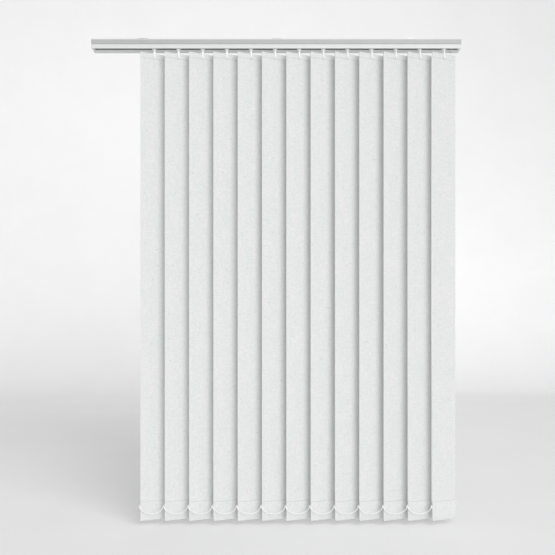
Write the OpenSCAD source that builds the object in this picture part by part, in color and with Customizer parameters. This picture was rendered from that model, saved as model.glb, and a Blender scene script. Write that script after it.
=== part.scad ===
// Vertical blind: an extruded headrail with fabric slats that hang from turning hooks, a weight in each slat's
// bottom pocket and a chain that links the front ends of the weights.
// X runs along the rail, Y away from the viewer and Z up. The origin is on the fixing plane, at the screw hole of
// the middle bracket. The slats are drawn out and closed, as they hang in front of a window.

/* [Headrail] */
// Length over both end caps
rail_length = 1190; // [1080:10:2400]
// Depth from front to back
rail_depth = 40; // [40:1:50]
// Height of the extrusion
rail_height = 31; // [31:1:40]
// Wall of the extrusion
rail_wall = 1.4; // [1:0.1:1.6]
// Thickness of the two flanges that the wheels run on
track_thickness = 1.6; // [1.2:0.1:2]
// Gap between the fixing plane and the rail
fixing_gap = 5; // [4:0.5:10]
// Width of the slot for the stems
slot_width = 9; // [8.4:0.1:10]
// Distance from the rail's front to the stems
stem_setback = 13.5; // [13.5:0.1:15]
// Height of the lip along the top of the front
lip_height = 2.6; // [2:0.1:3]
// Thickness of the two lips that the brackets grip
lip_thickness = 1.3; // [1:0.1:1.6]
// How deep the cove below the lip goes in
cove_depth = 4.2; // [2:0.1:4.2]
// Height of the nose below the cove
nose_height = 13; // [13:0.5:18]
// How far the nose reaches below the floor of the rail
nose_drop = 3; // [1:0.1:3]
// Thickness of the nose's lower edge
nose_edge = 2; // [1.6:0.1:3]
// Radius along the nose's edges
nose_radius = 0.8; // [0.4:0.1:0.8]
// Length of each end cap outside the rail
cap_length = 8; // [6:0.5:12]
// Radius of the end caps' lower corners
cap_radius = 5; // [2:0.5:6]

/* [Slats] */
// Number of slats
slat_count = 13; // [3:1:13]
// Width of the fabric
slat_width = 89; // [80:1:100]
// Length of a finished slat, from fold to fold
slat_length = 1506; // [600:1:2400]
// Distance between neighbouring stems
slat_pitch = 78; // [70:1:85]
// Angle of the closed slats to the rail
closed_angle = 20; // [15:1:30]
// Gap between the rail and the top of the slats
slat_gap = 11.5; // [11:0.1:16]
// Thickness of the fabric
fabric = 0.5; // [0.3:0.1:0.8]
// Height of the top pocket
top_pocket = 17; // [15:0.5:25]
// Height of the bottom pocket
bottom_pocket = 61; // [58:0.5:80]

/* [Hooks and hangers] */
// Radius of the stem
stem_radius = 3; // [2.5:0.1:3.2]
// Teeth of the pinion
pinion_teeth = 12; // [8:1:16]
// Tooth module of the pinion
pinion_module = 0.85; // [0.7:0.05:0.85]
// Height of the pinion
pinion_height = 6; // [4:0.5:7]
// Radius of the collar under the rail
collar_radius = 7; // [5:0.1:8]
// Height of the collar
collar_height = 4.4; // [3:0.1:4.6]
// Width of the two legs
leg_width = 5; // [4:0.1:6]
// Thickness of the two legs
leg_thickness = 2; // [1.5:0.1:3]
// Length of the front leg
leg_length = 24; // [18:0.5:30]
// Radius of the round tip of a leg
tip_radius = 3.4; // [3:0.1:4]
// Radius of the hole in the tip of a leg
tip_hole = 1.4; // [1:0.1:1.8]
// Thickness of the hanger in the top pocket
hanger_thickness = 1; // [0.8:0.1:1.5]
// Radius of the pin through the hanger's eye
pin_radius = 1.1; // [0.8:0.1:1.2]

/* [Carriers] */
// Length of a carrier along the rail
carrier_length = 15.4; // [15:0.1:15.8]
// Radius of the wheels
wheel_radius = 3.3; // [2.8:0.1:3.5]
// Width of the wheels
wheel_width = 2.6; // [2:0.1:3]
// Radius of the wheels' axles
axle_radius = 1.5; // [1.2:0.1:1.8]
// Radius of the worm sleeve
worm_radius = 4.2; // [4:0.1:4.4]
// Radius of the tilt rod
rod_radius = 3; // [2.5:0.1:3]
// Radius of the chain wheel at the control end
drive_radius = 8.5; // [7:0.1:9]
// Thickness of a spacer strip
spacer_thickness = 0.3; // [0.2:0.05:0.35]
// Width of a spacer strip
spacer_width = 5; // [4:0.1:6]

/* [Weights and chain] */
// Thickness of the bottom weights
weight_thickness = 3; // [2:0.1:4]
// Height of the bottom weights
weight_height = 50; // [48:0.5:54]
// How far the ears of a weight stand out of its pocket
weight_overhang = 4.3; // [4:0.1:6]
// Height of the chain's eyelets above the bottom of the slats
chain_height = 47.6; // [46:0.1:48]
// Radius of the upright bar that takes an eyelet
bar_radius = 1.2; // [1:0.1:1.3]
// Diameter of the chain
chain_diameter = 3; // [2:0.1:3]
// Diameter of the clip at the upper end of each swag
clip_diameter = 4.2; // [3.6:0.1:4.4]

/* [Brackets] */
// Distance from the middle bracket to the outer ones
bracket_spacing = 430; // [200:5:500]
// Length of a bracket along the rail
bracket_length = 30; // [20:1:50]
// Thickness of the bracket's steel
bracket_steel = 1.4; // [1:0.1:1.6]
// Radius of the screw hole
screw_radius = 2.5; // [2:0.1:3]

/* [Hidden] */
$fn = 48;
// Clearance between pieces that move past each other
running_gap = 0.3;
// Radial clearance of a turning shaft in its bore
bore_gap = 0.05;
// Clearance of a piece that is pushed into another
slip_gap = 0.2;
// How far a cut runs past the faces that it opens
past = 1;

// Heights of the rail
rail_top = -fixing_gap;
rail_bottom = rail_top - rail_height;
floor_bottom = rail_bottom + nose_drop;
track_z = floor_bottom + track_thickness;
foot_space = 2.2;
channel_floor = rail_top - lip_thickness - foot_space;
tunnel_top = channel_floor - rail_wall;
nose_top = rail_bottom + nose_height;

// Front, back and ends of the rail
rail_front = -rail_depth / 2;
rail_back = rail_depth / 2;
rail_end = rail_length / 2 - cap_length;
back_radius = 1.5;
lip_reach = 6.5;
channel_wall = 2.8;

// Cove: an arc that starts upright below the lip and turns in towards the ledge on top of the nose
cove_start = [rail_front + 1, rail_top - lip_height - 0.6];
cove_end = [rail_front + cove_depth, nose_top + 1.2];
cove_turn = 2 * atan((cove_end[0] - cove_start[0]) / (cove_start[1] - cove_end[1]));
cove_radius = (cove_start[1] - cove_end[1]) / sin(cove_turn);
cove_centre = cove_start + [cove_radius, 0];

// Places of the stems
stem_y = rail_front + stem_setback;
end_margin = slat_width / 2 + 8.5;
last_stem_x = rail_length / 2 - end_margin;
function stem_x(i) = last_stem_x - (slat_count - i) * slat_pitch;

// Tilt drive: the rod runs behind the stems, level with the pinions
pinion_tip = pinion_module * (pinion_teeth / 2 + 1);
pinion_root = pinion_module * (pinion_teeth / 2 - 1.25);
rod_offset = pinion_tip + worm_radius + running_gap;
rod_y = stem_y + rod_offset;
rod_z = track_z + 9.4;
pinion_bottom = rod_z - pinion_height / 2;
journal_radius = rod_radius - 0.5;
journal_length = 8;
hub_length = journal_length + 2;
key_width = 1.4;
key_depth = 1;
drive_width = 9;
drive_x = rail_end - 18;
ball_radius = 2.2;
ball_count = 9;

// Housing of a carrier, measured from its stem
pocket_radius = pinion_tip + running_gap + 0.1;
tunnel_radius = worm_radius + running_gap;
housing_front = pocket_radius + 0.8;
housing_rear = rod_offset + tunnel_radius + 1.3;
housing_bottom = track_z + 0.8;
housing_top = rod_z + tunnel_radius + 3.5;
boss_radius = slot_width / 2 - 0.4;
boss_bottom = floor_bottom - running_gap;
axle_z = track_z + running_gap + wheel_radius;
wheel_gap = 0.4;
axle_length = wheel_width + 2 * wheel_gap;
worm_length = carrier_length - 2.4;

// Spacer strips rise along their length, so that they lie over each other when the carriers close up
spacer_slope = 0.03;
spacer_start = 5;
spacer_end = slat_pitch + 6;
spacer_seat = 0.05;
post_width = 1.2;
post_length = 3;
post_height = 2.6;

// Heights of a hook and its slat
collar_top = floor_bottom - 0.6;
collar_bottom = collar_top - collar_height;
neck_radius = 5.4;
bridge_height = 2;
bridge_bottom = collar_bottom - bridge_height;
slat_top = rail_bottom - slat_gap;
slat_bottom = slat_top - slat_length;
rear_leg_length = leg_length / 2;

// Half widths of the pockets, inside and outside the fabric
hanger_room = hanger_thickness / 2 + 0.15;
hanger_face = hanger_room + fabric;
weight_room = weight_thickness / 2 + 0.2;
weight_face = weight_room + fabric;
top_taper = 4;
bottom_taper = 8;
leg_inside = hanger_face + running_gap;

// Hanger: its eye hangs on the hook's pin
hanger_length = slat_width - 3;
hanger_drop = 10;
tab_width = 8;
tab_top = bridge_bottom - 0.4;
pin_z = tab_top - 2;
eye_radius = pin_radius + 0.3;
eye_z = pin_z - eye_radius + pin_radius + bore_gap;

// Weight and the eyelets on its bars
weight_length = slat_width + 2 * weight_overhang;
weight_bottom = slat_bottom + weight_face + slip_gap;
weight_corner = 3;
weight_body = slat_width / 2 - 0.5;
eyelet_bore = bar_radius + running_gap;
eyelet_radius = eyelet_bore + 1.1;
eyelet_height = 3;
window_height = eyelet_height + 1.4;
bar_inset = 0.2;
bar_seat = 0.5;
peg_reach = weight_length / 2 - bar_radius - bar_inset;
peg_z = slat_bottom + chain_height;
window_inside = peg_reach - eyelet_radius - 0.5;
ear_wall = 2.6;
ear_bottom = peg_z - window_height / 2 - ear_wall;
function peg(i) = [
    stem_x(i) - peg_reach * cos(closed_angle),
    stem_y - peg_reach * sin(closed_angle),
    peg_z
];

// One half of a swag of the chain, measured from the bar that it hangs on, down to the middle of the swag
chain_sides = 8;
half_swag = [[1.95, -3.4, -0.8], [5.4, -4.9, -9], [12.8, -4.9, -15.2], [23, -4.8, -19.8]];
swag_low = [-4.5, -22.4];
clip_ends = [0.06, 0.96];

UNITS = ["carrier", "hook", "slat", "weight"];

// Points of an arc in a plane
function arc(centre, radius, from, to, steps = 6) = [
    for (k = [0 : steps])
        let (angle = from + (to - from) * k / steps)
        centre + radius * [cos(angle), sin(angle)]
];

// Points of one side of an outline, followed by the same points on the other side
function both_sides(points) = concat(
    points,
    [for (k = [len(points) - 1 : -1 : 0]) [-points[k][0], points[k][1]]]
);

// Turns an outline in Y and Z into a bar along X
module along_x(from, to) {
    translate([from, 0, 0])
        rotate([90, 0, 90])
            linear_extrude(to - from)
                children();
}

// Cylinder along X or Y, from a start to an end
module rod_along_x(from, to, radius) {
    translate([from, 0, 0])
        rotate([0, 90, 0])
            cylinder(h = to - from, r = radius);
}

module rod_along_y(from, to, radius) {
    translate([0, from, 0])
        rotate([-90, 0, 0])
            cylinder(h = to - from, r = radius);
}

// Turns a slat's own frame, with the fabric along X, into its place under a stem
module at_stem(i) {
    translate([stem_x(i), stem_y, 0])
        rotate([0, 0, closed_angle])
            children();
}

// Outer outline of the headrail: lip, cove, nose with its lower edge, floor and plain back
module rail_outline() {
    polygon(concat(
        [
            [rail_front, rail_top],
            [rail_front, rail_top - lip_height]
        ],
        arc(cove_centre, cove_radius, 180, 180 + cove_turn),
        arc([rail_front + nose_radius, nose_top - nose_radius], nose_radius, 90, 180, 4),
        arc([rail_front + nose_radius, rail_bottom + nose_radius], nose_radius, 180, 270, 4),
        arc([rail_front + nose_edge - nose_radius, rail_bottom + nose_radius], nose_radius, 270, 360, 4),
        [[rail_front + nose_edge, floor_bottom]],
        arc([rail_back - back_radius, floor_bottom + back_radius], back_radius, 270, 360, 4),
        [[rail_back, rail_top]]
    ));
}

// The tunnel that the carriers run in, with the cove's arc along its front
module tunnel_outline() {
    inner_radius = cove_radius - rail_wall;
    top_turn = asin((cove_start[1] - tunnel_top) / inner_radius);
    polygon(concat(
        [
            [rail_front + rail_wall, track_z],
            [rail_front + rail_wall, nose_top - nose_radius - rail_wall]
        ],
        arc(cove_centre, inner_radius, 180 + cove_turn, 180 + top_turn),
        [
            [rail_back - rail_wall, tunnel_top],
            [rail_back - rail_wall, track_z]
        ]
    ));
}

// The channel along the top that the brackets' feet snap into
module channel_outline() {
    foot_top = rail_top - lip_thickness;
    translate([rail_front + channel_wall, channel_floor])
        square([rail_depth - 2 * channel_wall, foot_top - channel_floor]);
    translate([rail_front + lip_reach, channel_floor])
        square([rail_depth - 2 * lip_reach, rail_top + past - channel_floor]);
}

module headrail() {
    color("whitesmoke")
        difference() {
            along_x(-rail_end, rail_end)
                difference() {
                    rail_outline();
                    tunnel_outline();
                    channel_outline();
                    translate([stem_y - slot_width / 2, floor_bottom - past])
                        square([slot_width, track_thickness + 2 * past]);
                }
            chain_outlets();
        }
}

// Ways down through the floor for a chain over the chain wheel
module chain_outlets() {
    for (side = [-1, 1])
        translate([drive_x, rod_y + side * drive_radius, floor_bottom - past])
            cylinder(h = track_thickness + 4, r = ball_radius + 0.6);
}

// Outside of an end cap: the rail's outline with a rounded lower corner, from X = 0 outwards
module cap_shell() {
    intersection() {
        along_x(0, cap_length)
            rail_outline();
        translate([0, rail_back + past, 0])
            rotate([90, 0, 0])
                linear_extrude(rail_depth + 2 * past)
                    polygon(concat(
                        [[0, rail_top], [0, rail_bottom]],
                        arc([cap_length - cap_radius, rail_bottom + cap_radius], cap_radius, 270, 360),
                        [[cap_length, rail_top]]
                    ));
    }
}

// Bridge inside the tunnel that holds a cap in the rail, from X = 0 inwards, with the rod's bearing
module cap_plug(length) {
    wall = 2;
    front = rail_front + cove_depth + rail_wall + slip_gap + 0.4;
    size = [length, rail_back - rail_wall - slip_gap - front, tunnel_top - track_z - 2 * slip_gap];
    difference() {
        translate([-length, front, track_z + slip_gap])
            cube(size);
        translate([-length - past, front + wall, track_z + slip_gap - past])
            cube([length + past, size[1] - 2 * wall, size[2] - wall + past]);
    }
    translate([0, rod_y, rod_z])
        rod_along_x(-hub_length, 0, journal_radius + 2);
}

// The bearing that a rod's end turns in, open towards the middle of the rail
module cap_bearing() {
    translate([0, rod_y, rod_z])
        rod_along_x(-hub_length - past, 1, journal_radius + bore_gap);
}

// End cap at the right end of the rail
module end_cap(plug_length) {
    translate([rail_end, 0, 0])
        difference() {
            union() {
                cap_shell();
                cap_plug(plug_length);
            }
            cap_bearing();
        }
}

module idle_end_cap() {
    color("white")
        mirror([1, 0, 0])
            end_cap(14);
}

module control_end_cap() {
    color("white")
        end_cap(28);
}

// Keyed rod with a round journal at each end
module tilt_rod() {
    reach = rail_end + 0.6;
    shoulder = rail_end - hub_length - running_gap;
    color("silver")
        translate([0, rod_y, rod_z]) {
            difference() {
                rod_along_x(-shoulder, shoulder, rod_radius);
                translate([-shoulder - past, -key_width / 2, rod_radius - key_depth])
                    cube([2 * (shoulder + past), key_width, key_depth + past]);
            }
            rod_along_x(shoulder, reach, journal_radius);
            rod_along_x(-reach, -shoulder, journal_radius);
        }
}

// Wheel with a ring of pockets for the balls of a tilting chain
module chain_wheel() {
    color("white")
        translate([drive_x, rod_y, rod_z])
            difference() {
                rod_along_x(-drive_width / 2, drive_width / 2, drive_radius);
                rod_along_x(-drive_width / 2 - past, drive_width / 2 + past, rod_radius + bore_gap);
                for (k = [0 : ball_count - 1])
                    rotate([360 / ball_count * k, 0, 0])
                        translate([0, 0, drive_radius])
                            sphere(r = ball_radius);
            }
}

// Spring steel clips: a top plate on two legs, with feet that snap under the lips of the rail
module fixing_brackets() {
    half = rail_depth / 2 - lip_reach - 0.5;
    foot_top = rail_top - lip_thickness - 0.1;
    foot_bottom = foot_top - bracket_steel;
    foot_end = rail_depth / 2 - channel_wall - 0.6;
    color("gainsboro")
        for (x = [-bracket_spacing, 0, bracket_spacing])
            translate([x, 0, 0])
                difference() {
                    along_x(-bracket_length / 2, bracket_length / 2)
                        polygon(both_sides([
                            [half, 0],
                            [half, foot_top],
                            [foot_end, foot_top],
                            [foot_end, foot_bottom],
                            [half - bracket_steel, foot_bottom],
                            [half - bracket_steel, -bracket_steel]
                        ]));
                    translate([0, 0, -bracket_steel - past])
                        cylinder(h = bracket_steel + 2 * past, r = screw_radius);
                }
}

// Moulded housing: a block with the pinion's pocket, the worm's tunnel, a guide boss in the slot and two axles
module housing() {
    difference() {
        union() {
            translate([-carrier_length / 2, -housing_front, housing_bottom])
                cube([carrier_length, housing_front + housing_rear, housing_top - housing_bottom]);
            translate([0, 0, boss_bottom])
                cylinder(h = housing_bottom - boss_bottom, r = boss_radius);
            translate([0, 0, axle_z]) {
                rod_along_y(-housing_front - axle_length, -housing_front, axle_radius);
                rod_along_y(housing_rear, housing_rear + axle_length, axle_radius);
            }
            for (side = [-1, 1])
                translate([
                    -post_length / 2,
                    rod_offset + side * (spacer_width / 2 + wheel_gap + post_width / 2) - post_width / 2,
                    housing_top
                ])
                    cube([post_length, post_width, post_height]);
        }
        translate([0, 0, boss_bottom - past])
            cylinder(h = housing_top - boss_bottom, r = stem_radius + bore_gap);
        translate([0, 0, pinion_bottom - slip_gap])
            cylinder(h = housing_top - pinion_bottom + past, r = pocket_radius);
        translate([0, rod_offset, rod_z])
            rod_along_x(-carrier_length, carrier_length, tunnel_radius);
    }
}

module wheel() {
    difference() {
        rod_along_y(0, wheel_width, wheel_radius);
        rod_along_y(-past, wheel_width + past, axle_radius + 0.1);
    }
}

// Sleeve that carries the worm and slides along the rod
module worm() {
    translate([0, rod_offset, rod_z])
        difference() {
            rod_along_x(-worm_length / 2, worm_length / 2, worm_radius);
            rod_along_x(-worm_length, worm_length, rod_radius + running_gap);
        }
}

// Strip that sets how far the next carrier can run ahead
module spacer() {
    rise = spacer_slope * (spacer_start + spacer_end);
    base = housing_top + spacer_seat;
    translate([0, rod_offset + spacer_width / 2, 0])
        rotate([90, 0, 0])
            linear_extrude(spacer_width)
                polygon([
                    [spacer_start, base],
                    [spacer_start, base + spacer_thickness],
                    [-spacer_end, base + spacer_thickness + rise],
                    [-spacer_end, base + rise]
                ]);
}

module carrier(i) {
    color("white")
        translate([stem_x(i), stem_y, 0]) {
            housing();
            translate([0, -housing_front - wheel_gap - wheel_width, axle_z])
                wheel();
            translate([0, housing_rear + wheel_gap, axle_z])
                wheel();
            worm();
            if (i > 1)
                spacer();
        }
}

// Pinion with straight teeth
module pinion() {
    step = 360 / pinion_teeth;
    linear_extrude(pinion_height)
        polygon([
            for (k = [0 : pinion_teeth - 1])
                for (corner = [[pinion_root, -0.34], [pinion_tip, -0.14], [pinion_tip, 0.14], [pinion_root, 0.34]])
                    corner[0] * [cos(step * (k + corner[1])), sin(step * (k + corner[1]))]
        ]);
}

// Leg of a hook: a flat strip that hangs from the bridge, with a hole in its round tip
module leg(length) {
    translate([0, leg_thickness / 2, 0])
        rotate([90, 0, 0])
            linear_extrude(leg_thickness)
                difference() {
                    union() {
                        translate([-leg_width / 2, -length + tip_radius])
                            square([leg_width, length - tip_radius]);
                        translate([0, -length + tip_radius])
                            circle(r = tip_radius);
                    }
                    translate([0, -length + tip_radius])
                        circle(r = tip_hole);
                }
}

// Hook: pinion, stem, collar and two legs with the pin that the hanger's eye sits on
module stem_and_hook() {
    leg_middle = leg_inside + leg_thickness / 2;
    translate([0, 0, pinion_bottom])
        pinion();
    translate([0, 0, collar_top])
        cylinder(h = pinion_bottom - collar_top, r = stem_radius);
    translate([0, 0, collar_bottom])
        cylinder(h = collar_height, r1 = neck_radius, r2 = collar_radius);
    translate([-leg_width / 2, -leg_inside - leg_thickness, bridge_bottom])
        cube([leg_width, 2 * (leg_inside + leg_thickness), bridge_height]);
    translate([0, -leg_middle, bridge_bottom])
        leg(leg_length);
    translate([0, leg_middle, bridge_bottom])
        leg(rear_leg_length);
    translate([0, 0, pin_z])
        rod_along_y(-leg_middle, leg_middle, pin_radius);
}

// Hanger: a stiff strip in the top pocket, with an eye on a tab that comes out of the fold
module hanger() {
    strip_top = slat_top - hanger_face;
    difference() {
        union() {
            translate([-hanger_length / 2, -hanger_thickness / 2, strip_top - hanger_drop])
                cube([hanger_length, hanger_thickness, hanger_drop]);
            translate([-tab_width / 2, -hanger_thickness / 2, strip_top - hanger_drop])
                cube([tab_width, hanger_thickness, tab_top - strip_top + hanger_drop]);
        }
        translate([0, 0, eye_z])
            rod_along_y(-hanger_thickness, hanger_thickness, eye_radius);
    }
}

module hook(i) {
    color("white")
        at_stem(i) {
            stem_and_hook();
            hanger();
        }
}

// Section of a slat, across the fabric: one layer that opens into a pocket at each end
module slat_section() {
    single = fabric / 2;
    difference() {
        polygon(both_sides(concat(
            arc([0, slat_top - hanger_face], hanger_face, 90, 0),
            [
                [hanger_face, slat_top - top_pocket + top_taper],
                [single, slat_top - top_pocket],
                [single, slat_bottom + bottom_pocket],
                [weight_face, slat_bottom + bottom_pocket - bottom_taper]
            ],
            arc([0, slat_bottom + weight_face], weight_face, 0, -90)
        )));
        polygon(both_sides(concat(
            arc([0, slat_top - hanger_face], hanger_room, 90, 0),
            [
                [hanger_room, slat_top - top_pocket + top_taper],
                [0, slat_top - top_pocket + fabric]
            ]
        )));
        polygon(both_sides(concat(
            [
                [0, slat_bottom + bottom_pocket - fabric],
                [weight_room, slat_bottom + bottom_pocket - bottom_taper]
            ],
            arc([0, slat_bottom + weight_face], weight_room, 0, -90)
        )));
    }
}

module slat(i) {
    slit = [tab_width + 0.6, 2 * hanger_room, 2 * hanger_face];
    color("#e6eae8")
        at_stem(i)
            difference() {
                along_x(-slat_width / 2, slat_width / 2)
                    slat_section();
                translate([-slit[0] / 2, -slit[1] / 2, slat_top - hanger_face])
                    cube(slit);
            }
}

// Weight: a plate with rounded corners. Two ears at its top stand out of the pocket and carry the bars
module weight(i) {
    half = weight_length / 2;
    top = weight_bottom + weight_height;
    color("white")
        at_stem(i) {
            translate([0, weight_thickness / 2, 0])
                rotate([90, 0, 0])
                    linear_extrude(weight_thickness)
                        difference() {
                            polygon(both_sides(concat(
                                arc([half - weight_corner, top - weight_corner], weight_corner, 90, 0),
                                [[half, ear_bottom], [weight_body, ear_bottom + weight_body - half]],
                                arc([weight_body - weight_corner, weight_bottom + weight_corner], weight_corner, 0, -90)
                            )));
                            for (side = [-1, 1])
                                translate([
                                    side * (window_inside + half) / 2,
                                    peg_z
                                ])
                                    square([half - window_inside + 0.02, window_height], center = true);
                        }
            for (side = [-1, 1])
                translate([side * peg_reach, 0, peg_z - window_height / 2 - bar_seat])
                    cylinder(h = window_height + 2 * bar_seat, r = bar_radius);
        }
}

// Ring on a weight's bar that the chain hangs from
module eyelet() {
    translate([0, 0, -eyelet_height / 2])
        difference() {
            cylinder(h = eyelet_height, r = eyelet_radius);
            translate([0, 0, -past])
                cylinder(h = eyelet_height + 2 * past, r = eyelet_bore);
        }
}

function unit(v) = v / norm(v);

// Tube of one diameter along a route
module tube(route, diameter, sides) {
    last = len(route) - 1;
    points = [
        for (k = [0 : last])
            let (
                ahead = unit(route[min(k + 1, last)] - route[max(k - 1, 0)]),
                up = unit(cross(ahead, [0, 1, 0])),
                across = cross(up, ahead)
            )
            for (s = [0 : sides - 1])
                route[k] + diameter / 2 * (cos(360 / sides * s) * up + sin(360 / sides * s) * across)
    ];
    walls = [
        for (k = [0 : last - 1])
            for (s = [0 : sides - 1])
                let (
                    a = k * sides + s,
                    b = k * sides + (s + 1) % sides
                )
                each [[a, b, a + sides], [b, b + sides, a + sides]]
    ];
    ends = [
        [for (s = [sides - 1 : -1 : 0]) s],
        [for (s = [0 : sides - 1]) last * sides + s]
    ];
    polyhedron(points, concat(walls, ends));
}

// Route of one swag between two neighbouring bars
function swag(start, end) = concat(
    [for (p = half_swag) start + p],
    [(start + end) / 2 + [0, swag_low[0], swag_low[1]]],
    [for (k = [len(half_swag) - 1 : -1 : 0]) end + [-half_swag[k][0], half_swag[k][1], half_swag[k][2]]]
);

// Moulded clip that the upper end of a swag is snapped into
module clip(start) {
    way = half_swag[1] - half_swag[0];
    tube([for (share = clip_ends) start + half_swag[0] + share * way], clip_diameter, chain_sides);
}

module front_chain() {
    color("white") {
        for (i = [1 : slat_count])
            translate(peg(i))
                eyelet();
        for (i = [1 : slat_count - 1]) {
            tube(swag(peg(i), peg(i + 1)), chain_diameter, chain_sides);
            clip(peg(i));
        }
    }
}

headrail();
idle_end_cap();
control_end_cap();
tilt_rod();
chain_wheel();
fixing_brackets();
front_chain();
for (i = [1 : slat_count]) {
    carrier(i);
    hook(i);
    slat(i);
    weight(i);
}
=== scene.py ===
import math

import bpy
from mathutils import Matrix, Vector


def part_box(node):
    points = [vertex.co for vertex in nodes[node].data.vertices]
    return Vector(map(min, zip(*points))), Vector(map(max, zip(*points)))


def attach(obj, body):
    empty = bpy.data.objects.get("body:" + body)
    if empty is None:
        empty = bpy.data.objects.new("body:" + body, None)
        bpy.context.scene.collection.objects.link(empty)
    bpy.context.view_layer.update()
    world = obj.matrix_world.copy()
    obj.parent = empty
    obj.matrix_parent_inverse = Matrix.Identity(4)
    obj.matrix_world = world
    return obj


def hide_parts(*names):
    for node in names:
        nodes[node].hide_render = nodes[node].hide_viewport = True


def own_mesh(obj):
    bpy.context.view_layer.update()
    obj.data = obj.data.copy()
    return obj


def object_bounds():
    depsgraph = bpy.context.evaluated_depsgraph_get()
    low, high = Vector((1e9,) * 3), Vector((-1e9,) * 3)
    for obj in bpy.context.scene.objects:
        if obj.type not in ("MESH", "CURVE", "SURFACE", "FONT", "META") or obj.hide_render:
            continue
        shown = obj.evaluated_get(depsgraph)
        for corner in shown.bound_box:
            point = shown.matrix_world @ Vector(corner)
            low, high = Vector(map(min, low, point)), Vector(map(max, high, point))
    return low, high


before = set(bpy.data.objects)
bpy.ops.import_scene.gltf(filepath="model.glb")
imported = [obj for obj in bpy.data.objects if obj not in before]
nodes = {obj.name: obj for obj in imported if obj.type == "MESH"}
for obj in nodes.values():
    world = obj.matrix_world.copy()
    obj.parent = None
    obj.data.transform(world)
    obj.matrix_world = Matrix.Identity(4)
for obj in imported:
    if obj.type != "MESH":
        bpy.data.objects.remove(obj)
cad_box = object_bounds()

# Headrail
# One length of extruded aluminium, powder coated white, with a lip, a cove and a rounded nose along its
# front. The carriers run inside it, and the hooks' stems come out of the slot in its underside.
coat_white = (0.735, 0.745, 0.745, 1)


def put(tree, kind, options=None, sockets=None):
    """Adds a node, sets its options, and sets or links its inputs by name or number."""
    node = tree.nodes.new(kind)
    for name, value in (options or {}).items():
        setattr(node, name, value)
    for key, value in (sockets or {}).items():
        if isinstance(value, bpy.types.NodeSocket):
            tree.links.new(value, node.inputs[key])
        else:
            node.inputs[key].default_value = value
    return node


def calc(tree, operation, *values):
    """The result of one Math node."""
    return put(tree, "ShaderNodeMath", {"operation": operation}, dict(enumerate(values))).outputs[0]


def new_group(name, kind, inputs, outputs):
    """A node group with named sockets. Returns it with what goes in and what comes out."""
    group = bpy.data.node_groups.new(name, kind)
    for label, socket_type, value in inputs:
        socket = group.interface.new_socket(label, in_out="INPUT", socket_type=socket_type)
        if value is not None:
            socket.default_value = value
    for label, socket_type in outputs:
        group.interface.new_socket(label, in_out="OUTPUT", socket_type=socket_type)
    return group, put(group, "NodeGroupInput").outputs, put(group, "NodeGroupOutput").inputs


def mixed(tree, amount, first, second, blend="MIX"):
    """Two colours in one, by a Mix node, whose colours go in at 6 and 7 and come out at 2."""
    options = {"data_type": "RGBA", "blend_type": blend}
    return put(tree, "ShaderNodeMix", options, {0: amount, 6: first, 7: second}).outputs[2]


def new_material(name, **constants):
    """A material with a Principled shader. Returns it with its tree and the shader."""
    material = bpy.data.materials.new(name)
    material.use_nodes = True
    tree = material.node_tree
    shader = tree.nodes["Principled BSDF"]
    for label, value in constants.items():
        shader.inputs[label.replace("_", " ")].default_value = value
    return material, tree, shader


# Grain of a coated or moulded surface: a fine relief, small changes of gloss and faint clouds of colour
grain, grain_in, grain_out = new_group(
    "surface grain",
    "ShaderNodeTree",
    [
        ("Vector", "NodeSocketVector", None),
        ("Colour", "NodeSocketColor", (0.8, 0.8, 0.8, 1)),
        ("Shade", "NodeSocketColor", (0.76, 0.76, 0.76, 1)),
        ("Grain Scale", "NodeSocketFloat", 2500.0),
        ("Cloud Scale", "NodeSocketFloat", 25.0),
        ("Gloss", "NodeSocketFloat", 0.4),
    ],
    [("Colour", "NodeSocketColor"), ("Roughness", "NodeSocketFloat"), ("Height", "NodeSocketFloat")],
)
fine = put(grain, "ShaderNodeTexNoise", None, {
    "Vector": grain_in["Vector"], "Scale": grain_in["Grain Scale"], "Detail": 3.0,
})
cloud = put(grain, "ShaderNodeTexNoise", None, {
    "Vector": grain_in["Vector"], "Scale": grain_in["Cloud Scale"], "Detail": 4.0, "Roughness": 0.6,
})
clouded = put(grain, "ShaderNodeMapRange", None, {
    "Value": cloud.outputs["Fac"], "From Min": 0.35, "From Max": 0.7,
})
noise_middle = 0.5
gloss_spread = 0.25
fine_change = calc(grain, "SUBTRACT", fine.outputs["Fac"], noise_middle)
gloss_change = calc(grain, "MULTIPLY", fine_change, gloss_spread)
clouded_colour = mixed(grain, clouded.outputs[0], grain_in["Colour"], grain_in["Shade"])
grain.links.new(clouded_colour, grain_out["Colour"])
grain.links.new(calc(grain, "ADD", grain_in["Gloss"], gloss_change), grain_out["Roughness"])
grain.links.new(fine.outputs["Fac"], grain_out["Height"])


def grained_material(name, values, relief, edge_radius=None, painted_shade_by=None, **constants):
    """A material with the surface grain. Its edges can look rounded, and a painted shade can lie over its
    colour.
    """
    material, tree, shader = new_material(name, **constants)
    place = put(tree, "ShaderNodeTexCoord").outputs["Object"]
    surface = put(tree, "ShaderNodeGroup", {"node_tree": grain}, {"Vector": place, **values})
    bump = put(tree, "ShaderNodeBump", None, {"Distance": relief, "Height": surface.outputs["Height"]})
    if edge_radius:
        rounding = put(tree, "ShaderNodeBevel", {"samples": 4}, {"Radius": edge_radius})
        tree.links.new(rounding.outputs["Normal"], bump.inputs["Normal"])
    colour = surface.outputs["Colour"]
    if painted_shade_by:
        painted_shade_node = put(tree, "ShaderNodeGroup", {"node_tree": painted_shade_by}, {"Vector": place, "Colour": colour})
        colour = painted_shade_node.outputs["Colour"]
    tree.links.new(colour, shader.inputs["Base Color"])
    tree.links.new(surface.outputs["Roughness"], shader.inputs["Roughness"])
    tree.links.new(bump.outputs["Normal"], shader.inputs["Normal"])
    return material


def finish_nodes(material, names):
    """Gives CAD nodes their finish."""
    for name in names:
        for slot in nodes[name].material_slots:
            slot.material = material
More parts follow.
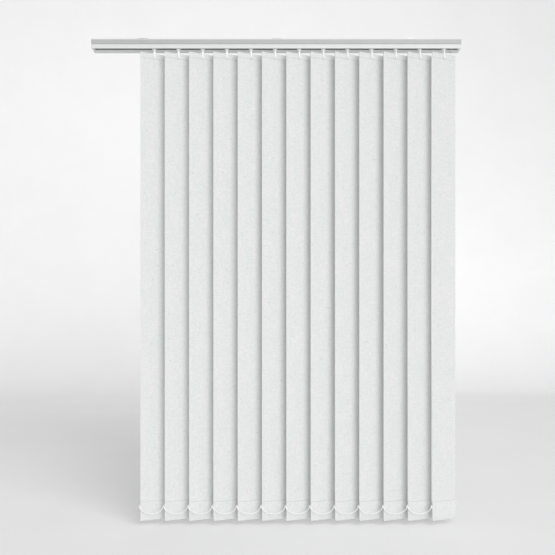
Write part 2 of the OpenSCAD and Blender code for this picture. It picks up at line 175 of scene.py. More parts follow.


# Painted shade in the cove between the lip and the nose: a mask darkens the colour there to light grey. Its
# limits are measured from the rail's front and top.
rail_low, rail_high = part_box("headrail")
painted_cove_shade = (0.66, 0.66, 0.66, 1)
cove_depth = 0.0045
cove_top = 0.0030
cove_bottom = 0.0174
cove, cove_in, cove_out = new_group(
    "painted cove shade",
    "ShaderNodeTree",
    [
        ("Vector", "NodeSocketVector", None),
        ("Colour", "NodeSocketColor", coat_white),
        ("Tint", "NodeSocketColor", painted_cove_shade),
        ("Back", "NodeSocketFloat", rail_low.y + cove_depth),
        ("Top", "NodeSocketFloat", rail_high.z - cove_top),
        ("Bottom", "NodeSocketFloat", rail_high.z - cove_bottom),
    ],
    [("Colour", "NodeSocketColor")],
)
rail_spot = put(cove, "ShaderNodeSeparateXYZ", None, {0: cove_in["Vector"]})
in_front = calc(cove, "LESS_THAN", rail_spot.outputs["Y"], cove_in["Back"])
under_lip = calc(cove, "LESS_THAN", rail_spot.outputs["Z"], cove_in["Top"])
over_nose = calc(cove, "GREATER_THAN", rail_spot.outputs["Z"], cove_in["Bottom"])
# Where the shade is painted: in front of the cove's back, under the lip and above the nose
cove_shade_mask = calc(cove, "MULTIPLY", in_front, calc(cove, "MULTIPLY", under_lip, over_nose))
cove_shaded_colour = mixed(cove, cove_shade_mask, cove_in["Colour"], cove_in["Tint"], blend="MULTIPLY")
cove.links.new(cove_shaded_colour, cove_out["Colour"])

# The white coat, with painted shade in its cove
powder_coat = grained_material(
    "white powder coat",
    {"Colour": coat_white, "Shade": (0.70, 0.71, 0.71, 1), "Grain Scale": 1400.0, "Gloss": 0.42},
    relief=0.00004,
    edge_radius=0.0003,
    painted_shade_by=cove,
    Specular_IOR_Level=0.45,
)
finish_nodes(powder_coat, ["headrail"])

# Fixing brackets
# Three clips of zinc plated spring steel. Their feet snap under the rail's two top lips, and a screw
# through each top plate holds the blind up.
zinc = grained_material(
    "zinc plated steel",
    {
        "Colour": (0.62, 0.63, 0.65, 1), "Shade": (0.47, 0.48, 0.50, 1),
        "Grain Scale": 900.0, "Cloud Scale": 160.0, "Gloss": 0.34,
    },
    relief=0.00002,
    edge_radius=0.0002,
    Metallic=1.0,
)
finish_nodes(zinc, ["fixing_brackets"])

# End caps
# Two white mouldings, pushed into the rail's ends, that also carry the tilt rod's bearings.
# The cove's painted shade also darkens the caps, where they reach into the cove's band
cap_plastic = grained_material(
    "white moulded caps",
    {
        "Colour": (0.745, 0.755, 0.755, 1), "Shade": (0.71, 0.72, 0.72, 1),
        "Grain Scale": 2600.0, "Gloss": 0.46,
    },
    relief=0.00003,
    edge_radius=0.0005,
    painted_shade_by=cove,
)
finish_nodes(cap_plastic, ["idle_end_cap", "control_end_cap"])

# Tilt rod and chain wheel
# A keyed rod of drawn aluminium that turns every worm at once, and the nylon wheel on its end.
rod_metal = grained_material(
    "drawn aluminium",
    {
        "Colour": (0.78, 0.79, 0.80, 1), "Shade": (0.66, 0.67, 0.68, 1),
        "Grain Scale": 1800.0, "Cloud Scale": 220.0, "Gloss": 0.30,
    },
    relief=0.00002,
    Metallic=1.0,
)
finish_nodes(rod_metal, ["tilt_rod"])
nylon = grained_material(
    "white nylon",
    {"Colour": (0.80, 0.80, 0.78, 1), "Shade": (0.75, 0.75, 0.72, 1), "Grain Scale": 2200.0, "Gloss": 0.5},
    relief=0.00003,
    edge_radius=0.0003,
)
finish_nodes(nylon, ["chain_wheel"])

# Carriers
# Thirteen moulded housings that roll along the rail on two wheels. Each has a worm on the tilt rod, and a
# spacer strip to the next one.
slat_count = sum(name.startswith("slat_") for name in nodes)
places = range(1, slat_count + 1)
acetal = grained_material(
    "white acetal",
    {"Colour": (0.83, 0.83, 0.82, 1), "Shade": (0.79, 0.79, 0.78, 1), "Grain Scale": 3000.0, "Gloss": 0.38},
    relief=0.00002,
    edge_radius=0.0003,
)
finish_nodes(acetal, [f"carrier_{i}" for i in places])

# Hooks and hangers
# One moulded hook hangs from each carrier. Its collar sits under the slot, and its two legs hold the eye of
# the stiff hanger that is in the slat's top pocket.
hook_plastic = grained_material(
    "white hook moulding",
    {"Colour": (0.88, 0.89, 0.89, 1), "Shade": (0.85, 0.86, 0.86, 1), "Grain Scale": 3000.0, "Gloss": 0.36},
    relief=0.00002,
    edge_radius=0.0004,
)
finish_nodes(hook_plastic, [f"hook_{i}" for i in places])

# Weights
# A flat moulded weight in each slat's bottom pocket. Its ends stand out of the pocket, and each has a bar
# that a chain can hang on.
weight_plastic = grained_material(
    "white weight moulding",
    {"Colour": (0.82, 0.83, 0.83, 1), "Shade": (0.78, 0.79, 0.79, 1), "Grain Scale": 2000.0, "Gloss": 0.45},
    relief=0.00003,
    edge_radius=0.0004,
)
finish_nodes(weight_plastic, [f"weight_{i}" for i in places])

# Slats
# Thirteen strips of white slub polyester. Each strip is folded back at the top over the hanger and at the
# bottom over the weight, and both pockets are closed by a row of stitches.
closed_angle = math.radians(20)
slat_width = 0.089
fabric = 0.0005
top_pocket = 0.017
top_taper = 0.004
top_pocket_half = 0.0009
bottom_pocket = 0.061
bottom_taper = 0.008
bottom_pocket_half = 0.00195
raw_edge = 0.0015
slit_width = 0.0086
fold_steps = 8
run_step = 0.03
slat_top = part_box("slat_1")[1].z
slat_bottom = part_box("slat_1")[0].z
top_seam = slat_top - top_pocket
bottom_seam = slat_bottom + bottom_pocket
top_fold = slat_top - top_pocket_half - fabric / 2
bottom_fold = slat_bottom + bottom_pocket_half + fabric / 2


def stem_of(i):
    """Where slat i's stem comes down, which is the middle of the slat."""
    low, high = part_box(f"slat_{i}")
    return Vector(((low.x + high.x) / 2, (low.y + high.y) / 2, 0))


def slat_place(i):
    """From a slat's own frame, with the fabric along X, to its place under stem i."""
    return Matrix.Translation(stem_of(i)) @ Matrix.Rotation(closed_angle, 4, "Z")


def fold(half, centre, start, end):
    """The round of a fold, from one angle to another."""
    angles = [math.radians(start + (end - start) * k / fold_steps) for k in range(fold_steps + 1)]
    return [(half * math.cos(a), centre + half * math.sin(a)) for a in angles]


def fabric_line():
    """The fabric's route in Y and Z, up the top hem, over the top, down the front and up the bottom hem."""
    run = top_seam - bottom_seam
    steps = round(run / run_step)
    return [
        (fabric, top_seam - raw_edge),
        (fabric, top_seam),
        (top_pocket_half, top_seam + top_taper),
        *fold(top_pocket_half, top_fold, 0, 180),
        (-top_pocket_half, top_seam + top_taper),
        *[(0, top_seam - run * k / steps) for k in range(steps)],
        (0, bottom_seam),
        (-bottom_pocket_half, bottom_seam - bottom_taper),
        *fold(bottom_pocket_half, bottom_fold, 180, 360),
        (bottom_pocket_half, bottom_seam - bottom_taper),
        (fabric, bottom_seam),
        (fabric, bottom_seam + raw_edge),
    ]


def line_lengths(line):
    """How far along a line each of its points is."""
    lengths = [0.0]
    for a, b in zip(line, line[1:]):
        lengths.append(lengths[-1] + math.dist(a, b))
    return lengths


def curve_object(name, lines):
    """A curve object that holds open lines of straight steps."""
    curve = bpy.data.curves.new(name, "CURVE")
    curve.dimensions = "3D"
    for points in lines:
        spline = curve.splines.new("POLY")
        spline.points.add(len(points) - 1)
        for place, point in zip(spline.points, points):
            place.co = (*point, 1)
    made = bpy.data.objects.new(name, curve)
    bpy.context.scene.collection.objects.link(made)
    return made


def end_tree(tree, geometry, material, output):
    """Ends a Geometry Nodes tree with real geometry that has its material."""
    real = put(tree, "GeometryNodeRealizeInstances", None, {"Geometry": geometry})
    finished = put(tree, "GeometryNodeSetMaterial", None, {
        "Geometry": real.outputs[0], "Material": material,
    })
    tree.links.new(finished.outputs[0], output)


def with_tree(source, tree, values):
    """Puts a Geometry Nodes tree on an object and sets its named inputs."""
    modifier = source.modifiers.new(tree.name, "NODES")
    modifier.node_group = tree
    for item in tree.interface.items_tree:
        if item.item_type == "SOCKET" and item.in_out == "INPUT" and item.name in values:
            modifier[item.identifier] = values[item.name]


def plain_piece(name, source, place):
    """Turns an object with its modifiers into a plain mesh at its place, and removes the source."""
    sharp_angle = math.radians(40)
    graph = bpy.context.evaluated_depsgraph_get()
    result = source.evaluated_get(graph)
    mesh = bpy.data.meshes.new_from_object(result, preserve_all_data_layers=True, depsgraph=graph)
    mesh.name = name
    mesh.transform(place)
    mesh.shade_smooth()
    mesh.set_sharp_from_angle(angle=sharp_angle)
    bpy.data.objects.remove(source)
    piece = bpy.data.objects.new(name, mesh)
    bpy.context.scene.collection.objects.link(piece)
    return piece


# The strip follows its fold line, has a slit in its top fold for the hanger, and hangs a little unevenly
# between its seams. Its UV map is the flat cut, in metres, with each slat's cut beside the one before.
strip_columns = 31
strip, strip_in, strip_out = new_group(
    "folded strip",
    "GeometryNodeTree",
    [
        ("Geometry", "NodeSocketGeometry", None),
        ("Width", "NodeSocketFloat", slat_width),
        ("Columns", "NodeSocketInt", strip_columns),
        ("Slit Width", "NodeSocketFloat", slit_width),
        ("Slit Height", "NodeSocketFloat", 0.0),
        ("Top Seam", "NodeSocketFloat", 0.0),
        ("Bottom Seam", "NodeSocketFloat", 0.0),
        ("Unevenness", "NodeSocketFloat", 0.0008),
        ("Seed", "NodeSocketFloat", 0.0),
        ("Material", "NodeSocketMaterial", None),
    ],
    [("Geometry", "NodeSocketGeometry")],
)
half_width = calc(strip, "MULTIPLY", strip_in["Width"], 0.5)
right_end = put(strip, "ShaderNodeCombineXYZ", None, {"X": half_width})
left_end = put(strip, "ShaderNodeCombineXYZ", None, {"X": calc(strip, "MULTIPLY", half_width, -1.0)})
across = put(strip, "GeometryNodeCurvePrimitiveLine", None, {
    "Start": left_end.outputs[0], "End": right_end.outputs[0],
})
columns = put(strip, "GeometryNodeResampleCurve", None, {
    "Curve": across.outputs[0], "Count": calc(strip, "ADD", strip_in["Columns"], 1),
})
route = put(strip, "GeometryNodeCaptureAttribute", None, {"Geometry": strip_in["Geometry"]})
route.capture_items.new("FLOAT", "Along")
strip.links.new(put(strip, "GeometryNodeSplineParameter").outputs["Length"], route.inputs["Along"])
swept = put(strip, "GeometryNodeCurveToMesh", None, {
    "Curve": route.outputs["Geometry"], "Profile Curve": columns.outputs[0],
})
spot = put(strip, "ShaderNodeSeparateXYZ", None, {0: put(strip, "GeometryNodeInputPosition").outputs[0]})
in_slit = calc(strip, "LESS_THAN", calc(strip, "ABSOLUTE", spot.outputs["X"]),
               calc(strip, "MULTIPLY", strip_in["Slit Width"], 0.5))
in_fold = calc(strip, "GREATER_THAN", spot.outputs["Z"], strip_in["Slit Height"])
opened = put(strip, "GeometryNodeDeleteGeometry", {"domain": "FACE"}, {
    "Geometry": swept.outputs[0], "Selection": calc(strip, "MULTIPLY", in_slit, in_fold),
})
cut_spacing = 0.1
cut_place = calc(strip, "MULTIPLY", strip_in["Seed"], cut_spacing)
cut_across = calc(strip, "ADD", spot.outputs["X"], cut_place)
flat_cut = put(strip, "ShaderNodeCombineXYZ", None, {"X": cut_across, "Y": route.outputs["Along"]})
mapped = put(strip, "GeometryNodeStoreNamedAttribute", {"data_type": "FLOAT2", "domain": "CORNER"}, {
    "Geometry": opened.outputs[0], "Name": "UVMap", "Value": flat_cut.outputs[0],
})
settle = 0.15
below_top = put(strip, "ShaderNodeMapRange", {"interpolation_type": "SMOOTHSTEP"}, {
    "Value": spot.outputs["Z"], "From Min": strip_in["Top Seam"],
    "From Max": calc(strip, "SUBTRACT", strip_in["Top Seam"], settle),
})
above_bottom = put(strip, "ShaderNodeMapRange", {"interpolation_type": "SMOOTHSTEP"}, {
    "Value": spot.outputs["Z"], "From Min": strip_in["Bottom Seam"],
    "From Max": calc(strip, "ADD", strip_in["Bottom Seam"], settle),
})
sway = put(strip, "ShaderNodeTexNoise", {"noise_dimensions": "4D"}, {
    "W": strip_in["Seed"], "Scale": 7.0, "Detail": 1.0,
})
sway_change = calc(strip, "SUBTRACT", sway.outputs["Fac"], noise_middle)
lean = calc(strip, "MULTIPLY", sway_change, strip_in["Unevenness"])
free = calc(strip, "MULTIPLY", below_top.outputs[0], above_bottom.outputs[0])
moved = put(strip, "ShaderNodeCombineXYZ", None, {"Y": calc(strip, "MULTIPLY", lean, free)})
hung = put(strip, "GeometryNodeSetPosition", None, {
    "Geometry": mapped.outputs[0], "Offset": moved.outputs[0],
})
end_tree(strip, hung.outputs[0], strip_in["Material"], strip_out["Geometry"])

# Weave of the slats: crossed yarns, thick and thin stretches in them, cool and neutral patches, and nubs
weave, weave_in, weave_out = new_group(
    "slub weave",
    "ShaderNodeTree",
    [("UV", "NodeSocketVector", None), ("Yarn", "NodeSocketFloat", 0.0005)],
    [("Colour", "NodeSocketColor"), ("Height", "NodeSocketFloat"), ("Roughness", "NodeSocketFloat")],
)
cut = put(weave, "ShaderNodeSeparateXYZ", None, {0: weave_in["UV"]})
warp_turn = calc(weave, "DIVIDE", cut.outputs["X"], weave_in["Yarn"])
weft_turn = calc(weave, "DIVIDE", cut.outputs["Y"], weave_in["Yarn"])
warp = calc(weave, "ABSOLUTE", calc(weave, "SINE", calc(weave, "MULTIPLY", warp_turn, math.pi)))
weft = calc(weave, "ABSOLUTE", calc(weave, "SINE", calc(weave, "MULTIPLY", weft_turn, math.pi)))
crossing = calc(weave, "ADD", calc(weave, "FLOOR", warp_turn), calc(weave, "FLOOR", weft_turn))
weft_over = calc(weave, "FLOORED_MODULO", crossing, 2.0)
over = calc(weave, "ADD", calc(weave, "MULTIPLY", weft, weft_over),
            calc(weave, "MULTIPLY", warp, calc(weave, "SUBTRACT", 1.0, weft_over)))


def stretched_noise(tree, vector, stretch, detail):
    """Noise that is longer one way than the other."""
    scaled = put(tree, "ShaderNodeVectorMath", {"operation": "MULTIPLY"}, {0: vector, 1: stretch})
    return put(tree, "ShaderNodeTexNoise", None, {
        "Vector": scaled.outputs[0], "Scale": 1.0, "Detail": detail,
    }).outputs["Fac"]


def specks(tree, vector, spacing, size):
    """Round specks, one in each cell, that fade out at their rims."""
    cells = put(tree, "ShaderNodeTexVoronoi", {"voronoi_dimensions": "2D"}, {
        "Vector": vector, "Scale": 1 / spacing,
    })
    faded = put(tree, "ShaderNodeMapRange", {"interpolation_type": "SMOOTHSTEP"}, {
        "Value": cells.outputs["Distance"], "From Min": size / spacing, "From Max": 0.0,
    })
    return calc(tree, "MULTIPLY", faded.outputs[0], cells.outputs["Color"])


weft_slub = stretched_noise(weave, weave_in["UV"], stretch=(110.0, 1100.0, 1.0), detail=2.0)
warp_slub = stretched_noise(weave, weave_in["UV"], stretch=(900.0, 60.0, 1.0), detail=2.0)
thick_weft = stretched_noise(weave, weave_in["UV"], stretch=(36.0, 330.0, 1.0), detail=2.0)
thick_warp = stretched_noise(weave, weave_in["UV"], stretch=(330.0, 24.0, 1.0), detail=2.0)
mottle = stretched_noise(weave, weave_in["UV"], stretch=(150.0, 110.0, 1.0), detail=3.0)
patches = stretched_noise(weave, weave_in["UV"], stretch=(38.0, 12.0, 1.0), detail=2.0)
dark_nubs = specks(weave, weave_in["UV"], spacing=0.06, size=0.0042)
light_nubs = specks(weave, weave_in["UV"], spacing=0.031, size=0.0028)
patch_mask = put(weave, "ShaderNodeMapRange", None, {"Value": patches, "From Min": 0.38, "From Max": 0.62})
cool_white = (0.735, 0.762, 0.755, 1)
plain_white = (0.765, 0.768, 0.764, 1)
cloth = mixed(weave, patch_mask.outputs[0], cool_white, plain_white)
base_lightness = 0.86
yarn_middle = 0.6
lightness = base_lightness
for pattern, middle, weight in (
    (mottle, 0.0, 0.18),
    (thick_weft, noise_middle, 0.12),
    (thick_warp, noise_middle, 0.08),
    (weft_slub, noise_middle, 0.12),
    (warp_slub, noise_middle, 0.10),
    (over, yarn_middle, 0.10),
    (dark_nubs, 0.0, -0.20),
    (light_nubs, 0.0, 0.10),
):
    change = calc(weave, "MULTIPLY", calc(weave, "SUBTRACT", pattern, middle), weight)
    lightness = calc(weave, "ADD", lightness, change)
toned = put(weave, "ShaderNodeVectorMath", {"operation": "SCALE"}, {0: cloth, "Scale": lightness})
slub_relief = 0.8
least_roughness = 0.78
roughness_spread = 0.2
yarn_height = calc(weave, "ADD", over, calc(weave, "MULTIPLY", weft_slub, slub_relief))
yarn_roughness = calc(weave, "ADD", least_roughness, calc(weave, "MULTIPLY", mottle, roughness_spread))
weave.links.new(toned.outputs[0], weave_out["Colour"])
weave.links.new(yarn_height, weave_out["Height"])
weave.links.new(yarn_roughness, weave_out["Roughness"])

line = fabric_line()
lengths = line_lengths(line)
cut_length = lengths[-1]
seam_marks = [lengths[k] for k, point in enumerate(line) if point[1] in (top_seam, bottom_seam)]

# The fabric is the weave, darker in a narrow band along each seam: partly the greyer look of fabric pressed
# flat there, partly painted shade of the crease at the seam
seam_band_half = 0.0007
pressing_and_crease_shade = 0.84
yarn_relief = 0.00012
slub_fabric, fabric_tree, fabric_shader = new_material(
    "white slub polyester", Sheen_Weight=0.15, Sheen_Roughness=0.5, Specular_IOR_Level=0.25
)
cut_map = put(fabric_tree, "ShaderNodeUVMap", {"uv_map": "UVMap"}).outputs[0]
woven = put(fabric_tree, "ShaderNodeGroup", {"node_tree": weave}, {"UV": cut_map})
cut_along = put(fabric_tree, "ShaderNodeSeparateXYZ", None, {0: cut_map}).outputs["Y"]
nearest_seam = cut_length
for mark in seam_marks:
    seam_distance = calc(fabric_tree, "ABSOLUTE", calc(fabric_tree, "SUBTRACT", cut_along, mark))
    nearest_seam = calc(fabric_tree, "MINIMUM", nearest_seam, seam_distance)
# Painted shade along the seams: the colour is darkened in a band around each seam line
seam_darkening = put(fabric_tree, "ShaderNodeMapRange", {"interpolation_type": "SMOOTHSTEP"}, {
    "Value": nearest_seam, "From Min": seam_band_half, "From Max": 2 * seam_band_half,
    "To Min": pressing_and_crease_shade, "To Max": 1.0,
})
seamed = put(fabric_tree, "ShaderNodeVectorMath", {"operation": "SCALE"}, {
    0: woven.outputs["Colour"], "Scale": seam_darkening.outputs[0],
})
yarn_bump = put(fabric_tree, "ShaderNodeBump", None, {
    "Distance": yarn_relief, "Height": woven.outputs["Height"],
})
fabric_tree.links.new(seamed.outputs[0], fabric_shader.inputs["Base Color"])
fabric_tree.links.new(woven.outputs["Roughness"], fabric_shader.inputs["Roughness"])
fabric_tree.links.new(yarn_bump.outputs["Normal"], fabric_shader.inputs["Normal"])

slats = {}
for i in places:
    source = curve_object(f"fold_line_{i}", [[(0, y, z) for y, z in line]])
    with_tree(source, strip, {
        "Slit Height": top_fold,
        "Top Seam": top_seam,
        "Bottom Seam": bottom_seam,
        "Seed": float(i),
        "Material": slub_fabric,
    })
    thickness = source.modifiers.new("fabric thickness", "SOLIDIFY")
    thickness.thickness = fabric
    thickness.offset = 0
    slats[i] = plain_piece(f"fabric_slat_{i}", source, slat_place(i))
    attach(slats[i], f"louvre_{i}")
    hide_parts(f"slat_{i}")

# Stitching
# Two rows of lockstitch across each slat, in grey-white polyester thread, that close the two pockets. The
# same stitch shows on the front and on the back.
stitch_pitch = 0.003
thread_radius = 0.00022
half_stitch_share = 0.42
thread_tip = 0.35
stitches, stitches_in, stitches_out = new_group(
    "stitch rows",
    "GeometryNodeTree",
    [
        ("Geometry", "NodeSocketGeometry", None),
        ("Pitch", "NodeSocketFloat", stitch_pitch),
        ("Thread Radius", "NodeSocketFloat", thread_radius),
        ("Material", "NodeSocketMaterial", None),
    ],
    [("Geometry", "NodeSocketGeometry")],
)
spaced = put(stitches, "GeometryNodeResampleCurve", {"mode": "LENGTH"}, {
    "Curve": stitches_in["Geometry"], "Length": stitches_in["Pitch"],
})
half_stitch = calc(stitches, "MULTIPLY", stitches_in["Pitch"], half_stitch_share)
half_back = calc(stitches, "MULTIPLY", half_stitch, -1.0)
stitch_start = put(stitches, "ShaderNodeCombineXYZ", None, {"X": half_back})
stitch_end = put(stitches, "ShaderNodeCombineXYZ", None, {"X": half_stitch})
one_stitch = put(stitches, "GeometryNodeCurvePrimitiveLine", None, {
    "Start": stitch_start.outputs[0], "End": stitch_end.outputs[0],
})
thread_points = put(stitches, "GeometryNodeResampleCurve", None, {
    "Curve": one_stitch.outputs[0], "Count": 5,
})
thread_along = put(stitches, "GeometryNodeSplineParameter").outputs["Factor"]
swell = calc(stitches, "SINE", calc(stitches, "MULTIPLY", thread_along, math.pi))
thread_girth = calc(stitches, "ADD", thread_tip, calc(stitches, "MULTIPLY", swell, 1 - thread_tip))
tapered = put(stitches, "GeometryNodeSetCurveRadius", None, {
    "Curve": thread_points.outputs[0], "Radius": thread_girth,
})
thread_round = put(stitches, "GeometryNodeCurvePrimitiveCircle", None, {
    "Resolution": 6, "Radius": stitches_in["Thread Radius"],
})
thread_mesh = put(stitches, "GeometryNodeCurveToMesh", None, {
    "Curve": tapered.outputs[0], "Profile Curve": thread_round.outputs[0], "Fill Caps": True,
    "Scale": put(stitches, "GeometryNodeInputRadius").outputs[0],
})
row = put(stitches, "GeometryNodeInstanceOnPoints", None, {
    "Points": spaced.outputs[0], "Instance": thread_mesh.outputs[0],
})
end_tree(stitches, row.outputs[0], stitches_in["Material"], stitches_out["Geometry"])

thread = grained_material(
    "polyester thread",
    {"Colour": (0.66, 0.69, 0.68, 1), "Shade": (0.56, 0.58, 0.58, 1), "Grain Scale": 4000.0, "Gloss": 0.6},
    relief=0.00003,
    Sheen_Weight=0.2,
)

# A row at each seam, on the front of the strip and on the back of its hem
row_half = slat_width / 2 - 2 * stitch_pitch / 3
front_face = -fabric / 2
back_face = 1.5 * fabric
seam_lines = [
    [(-row_half, y, seam), (row_half, y, seam)]
    for seam in (top_seam, bottom_seam)
    for y in (front_face, back_face)
]
for i in places:
    source = curve_object(f"seam_lines_{i}", seam_lines)
    with_tree(source, stitches, {"Material": thread})
    sewn = plain_piece(f"stitching_{i}", source, slat_place(i))
    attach(sewn, f"louvre_{i}")

# Front chain
# A white bead chain that links the weights' front ends and keeps the slats at their distance. It hangs in a
# swag between each pair of neighbours, in front of them, and a moulded clip holds each swag's left end.
peg_reach = 0.0474
peg_lift = 0.0476
peg_height = slat_bottom + peg_lift
bead_diameter = 0.003
bead_pitch = 0.0038
core_diameter = 0.0014
clip_diameter = 0.0042
clip_start = 0.0005
clip_end = 0.0087
clip_tip = 0.6
clip_bluntness = 0.3

# Half a swag's route, measured from the bar that it hangs on, and its lowest point, measured from midway
half_swag = [
    (0.00195, -0.0034, -0.0008),
    (0.0054, -0.0049, -0.009),
    (0.0128, -0.0049, -0.0152),
    (0.023, -0.0048, -0.0198),
]
swag_low = (0, -0.0045, -0.0224)
swag_steps = 4


def peg(i):
    """The bar at the front end of weight i."""
    return slat_place(i) @ Vector((-peg_reach, 0, peg_height))


def swag_points(start, end):
    """The route of one swag, from one bar to the next."""
    left = [start + Vector(p) for p in half_swag]
    right = [end + Vector((-p[0], p[1], p[2])) for p in half_swag]
    return [*left, (start + end) / 2 + Vector(swag_low), *right[::-1]]


def smooth_line(points, steps):
    """A smooth line through some points, with a few steps between neighbours."""
    ends = [2 * points[0] - points[1], *points, 2 * points[-1] - points[-2]]
    smooth = [points[0]]
    for a, b, c, d in zip(ends, ends[1:], ends[2:], ends[3:]):
        for k in range(1, steps + 1):
            t = k / steps
            smooth.append(0.5 * (
                2 * b
                + (c - a) * t
                + (2 * a - 5 * b + 4 * c - d) * t**2
                + (3 * b - a - 3 * c + d) * t**3
            ))
    return smooth


beads, beads_in, beads_out = new_group(
    "bead chain",
    "GeometryNodeTree",
    [
        ("Geometry", "NodeSocketGeometry", None),
        ("Bead Diameter", "NodeSocketFloat", bead_diameter),
        ("Bead Pitch", "NodeSocketFloat", bead_pitch),
        ("Core Diameter", "NodeSocketFloat", core_diameter),
        ("Clip Diameter", "NodeSocketFloat", clip_diameter),
        ("Clip Start", "NodeSocketFloat", clip_start),
        ("Clip End", "NodeSocketFloat", clip_end),
        ("Material", "NodeSocketMaterial", None),
    ],
    [("Geometry", "NodeSocketGeometry")],
)
bead_places = put(beads, "GeometryNodeResampleCurve", {"mode": "LENGTH"}, {
    "Curve": beads_in["Geometry"], "Length": beads_in["Bead Pitch"],
})
one_bead = put(beads, "GeometryNodeMeshUVSphere", None, {
    "Segments": 10, "Rings": 6, "Radius": calc(beads, "MULTIPLY", beads_in["Bead Diameter"], 0.5),
})
strung = put(beads, "GeometryNodeInstanceOnPoints", None, {
    "Points": bead_places.outputs[0], "Instance": one_bead.outputs[0],
})
core_round = put(beads, "GeometryNodeCurvePrimitiveCircle", None, {
    "Resolution": 8, "Radius": calc(beads, "MULTIPLY", beads_in["Core Diameter"], 0.5),
})
core = put(beads, "GeometryNodeCurveToMesh", None, {
    "Curve": beads_in["Geometry"], "Profile Curve": core_round.outputs[0], "Fill Caps": True,
})
clip_part = put(beads, "GeometryNodeTrimCurve", {"mode": "LENGTH"}, {
    "Curve": beads_in["Geometry"], "Start_001": beads_in["Clip Start"], "End_001": beads_in["Clip End"],
})
clip_line = put(beads, "GeometryNodeResampleCurve", None, {"Curve": clip_part.outputs[0], "Count": 13})
clip_along = put(beads, "GeometryNodeSplineParameter").outputs["Factor"]
clip_swell = calc(beads, "SINE", calc(beads, "MULTIPLY", clip_along, math.pi))
clip_round = calc(beads, "POWER", clip_swell, clip_bluntness)
clip_girth = calc(beads, "ADD", clip_tip, calc(beads, "MULTIPLY", clip_round, 1 - clip_tip))
clip_shape = put(beads, "GeometryNodeSetCurveRadius", None, {
    "Curve": clip_line.outputs[0], "Radius": clip_girth,
})
clip_section = put(beads, "GeometryNodeCurvePrimitiveCircle", None, {
    "Resolution": 12, "Radius": calc(beads, "MULTIPLY", beads_in["Clip Diameter"], 0.5),
})
clip = put(beads, "GeometryNodeCurveToMesh", None, {
    "Curve": clip_shape.outputs[0], "Profile Curve": clip_section.outputs[0], "Fill Caps": True,
    "Scale": put(beads, "GeometryNodeInputRadius").outputs[0],
})
joined = put(beads, "GeometryNodeJoinGeometry")
for part in (core, strung, clip):
    beads.links.new(part.outputs[0], joined.inputs[0])
end_tree(beads, joined.outputs[0], beads_in["Material"], beads_out["Geometry"])

chain_plastic = grained_material(
    "white chain plastic",
    {"Colour": (0.94, 0.94, 0.94, 1), "Shade": (0.91, 0.91, 0.91, 1), "Grain Scale": 2500.0, "Gloss": 0.3},
    relief=0.00002,
)
upright = Matrix.Identity(4)
for i in places[:-1]:
    swag_route = smooth_line(swag_points(peg(i), peg(i + 1)), swag_steps)
    source = curve_object(f"swag_line_{i}", [swag_route])
    with_tree(source, beads, {"Material": chain_plastic})
    swag = plain_piece(f"chain_swag_{i}", source, upright)
    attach(swag, "chain")
    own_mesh(swag)
    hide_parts("front_chain")

# Chain eyelets
# A moulded ring on the bar of each weight. It turns on the bar, and the ends of two swags hang from it.
eyelet_bore = 0.0015
eyelet_wall = 0.0011
eyelet_height = 0.003
eyelet_edge_share = 0.35
eyelets, eyelets_in, eyelets_out = new_group(
    "chain eyelet",
    "GeometryNodeTree",
    [
        ("Geometry", "NodeSocketGeometry", None),
        ("Bore Radius", "NodeSocketFloat", eyelet_bore),
        ("Wall", "NodeSocketFloat", eyelet_wall),
        ("Height", "NodeSocketFloat", eyelet_height),
        ("Material", "NodeSocketMaterial", None),
    ],
    [("Geometry", "NodeSocketGeometry")],
)
half_wall = calc(eyelets, "MULTIPLY", eyelets_in["Wall"], 0.5)
ring_line = put(eyelets, "GeometryNodeCurvePrimitiveCircle", None, {
    "Resolution": 28, "Radius": calc(eyelets, "ADD", eyelets_in["Bore Radius"], half_wall),
})
ring_section = put(eyelets, "GeometryNodeCurvePrimitiveQuadrilateral", None, {
    "Width": eyelets_in["Wall"], "Height": eyelets_in["Height"],
})
ring_rounded = put(eyelets, "GeometryNodeFilletCurve", {"mode": "POLY"}, {
    "Curve": ring_section.outputs[0], "Count": 3,
    "Radius": calc(eyelets, "MULTIPLY", eyelets_in["Wall"], eyelet_edge_share),
})
ring = put(eyelets, "GeometryNodeCurveToMesh", None, {
    "Curve": ring_line.outputs[0], "Profile Curve": ring_rounded.outputs[0],
})
ring_place = put(eyelets, "GeometryNodeInstanceOnPoints", None, {
    "Points": eyelets_in["Geometry"], "Instance": ring.outputs[0],
})
end_tree(eyelets, ring_place.outputs[0], eyelets_in["Material"], eyelets_out["Geometry"])
for i in places:
    source = curve_object(f"eyelet_spot_{i}", [[(0, 0, 0)]])
    with_tree(source, eyelets, {"Material": chain_plastic})
    eyelet = plain_piece(f"chain_eyelet_{i}", source, Matrix.Translation(peg(i)))
    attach(eyelet, f"louvre_{i}")
    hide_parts("front_chain")

# Floor and backdrop
# A pale sheet that runs along the floor and bends up far behind the blind, so that the blind's back stays
# open to view. It is so wide and high that its far end doesn't show beside the blind.
floor_drop = 0.02
floor_z = cad_box[0].z - floor_drop
sweep_back = 5.5
sweep_radius = 1.5
sweep_half = 120.0
sweep_front = -5.0
sweep_top = 30.0
bend_steps = 16
bend_start = sweep_back - sweep_radius
sweep_line = [(sweep_front, floor_z), (bend_start, floor_z)]
for k in range(1, bend_steps + 1):
    turn = math.radians(90 * k / bend_steps)
    sweep_line.append((
        bend_start + sweep_radius * math.sin(turn),
        floor_z + sweep_radius * (1 - math.cos(turn)),
    ))
sweep_line.append((sweep_back, sweep_top))
sweep_mesh = bpy.data.meshes.new("studio_sweep")
sweep_points = [(x, y, z) for y, z in sweep_line for x in (-sweep_half, sweep_half)]
sweep_faces = [(2 * k, 2 * k + 1, 2 * k + 3, 2 * k + 2) for k in range(len(sweep_line) - 1)]
sweep_mesh.from_pydata(sweep_points, [], sweep_faces)
sweep_mesh.shade_smooth()
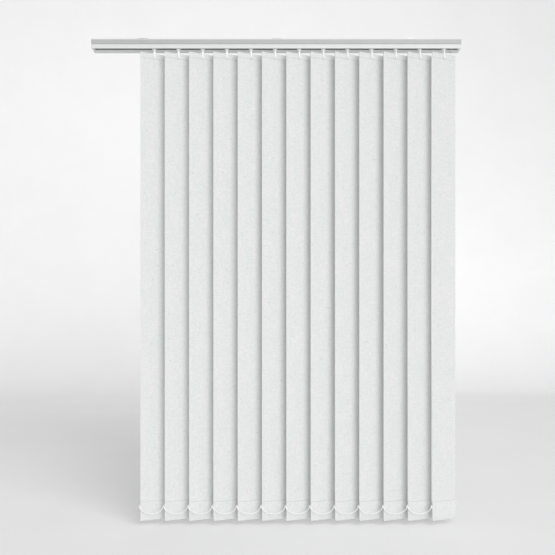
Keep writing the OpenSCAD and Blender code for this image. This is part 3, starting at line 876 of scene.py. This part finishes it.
sweep = bpy.data.objects.new("studio_sweep", sweep_mesh)
bpy.context.scene.collection.objects.link(sweep)
studio_paper = grained_material(
    "pale studio paper",
    {
        "Colour": (0.88, 0.88, 0.88, 1), "Shade": (0.86, 0.86, 0.86, 1),
        "Grain Scale": 300.0, "Cloud Scale": 2.0, "Gloss": 0.8,
    },
    relief=0.0001,
    Specular_IOR_Level=0.1,
)
sweep_mesh.materials.append(studio_paper)

# Studio light
# A pale dome that looks about as light as the sheet, and one wide round light in front of the blind, above
# it and to the right, which is as strong at the far end of the blind as at the near one.
world = bpy.data.worlds.new("studio dome")
bpy.context.scene.world = world
world.use_nodes = True
dome = world.node_tree.nodes["Background"]
dome.inputs["Color"].default_value = (1.0, 1.0, 1.0, 1)
dome_light = 0.58
dome_seen = 0.78
seen_straight = put(world.node_tree, "ShaderNodeLightPath").outputs["Is Camera Ray"]
dome_strength = calc(world.node_tree, "MULTIPLY_ADD", seen_straight, dome_seen - dome_light, dome_light)
world.node_tree.links.new(dome_strength, dome.inputs["Strength"])
light_place = Vector((1.55, -3.0, 0.3))
light_aim = Vector((0, 0, cad_box[0].z / 2))
front_lamp = bpy.data.lights.new("front_soft_light", "AREA")
front_lamp.shape = "DISK"
front_lamp.size = 3.4
front_lamp.energy = 6.0
front_lamp.use_nodes = True
lamp_tree = front_lamp.node_tree
even_strength = put(lamp_tree, "ShaderNodeLightFalloff", None, {"Strength": 1.0}).outputs["Constant"]
lamp_tree.links.new(even_strength, lamp_tree.nodes["Emission"].inputs["Strength"])
front_light = bpy.data.objects.new("front_soft_light", front_lamp)
front_light.location = light_place
front_light.rotation_mode = "QUATERNION"
front_light.rotation_quaternion = (light_aim - light_place).to_track_quat("-Z", "Y")
front_light.visible_camera = False
bpy.context.scene.collection.objects.link(front_light)
bpy.context.scene.view_settings.view_transform = "Standard"

# Camera
# It stands level in front of the blind, below the middle of it, and its film is shifted up to take in the
# whole blind.
photo_size = 555
focal_pixels = 580
camera_x = 0.004
camera_y = -1.882
camera_z = -0.963
horizon_pixel = 337
camera_data = bpy.data.cameras.new("photo_camera")
camera_data.lens = focal_pixels * camera_data.sensor_width / photo_size
camera_data.shift_y = (horizon_pixel - photo_size / 2) / photo_size
camera = bpy.data.objects.new("photo_camera", camera_data)
camera.location = (camera_x, camera_y, camera_z)
camera.rotation_euler = (math.radians(90), 0, 0)
bpy.context.scene.collection.objects.link(camera)
bpy.context.scene.camera = camera
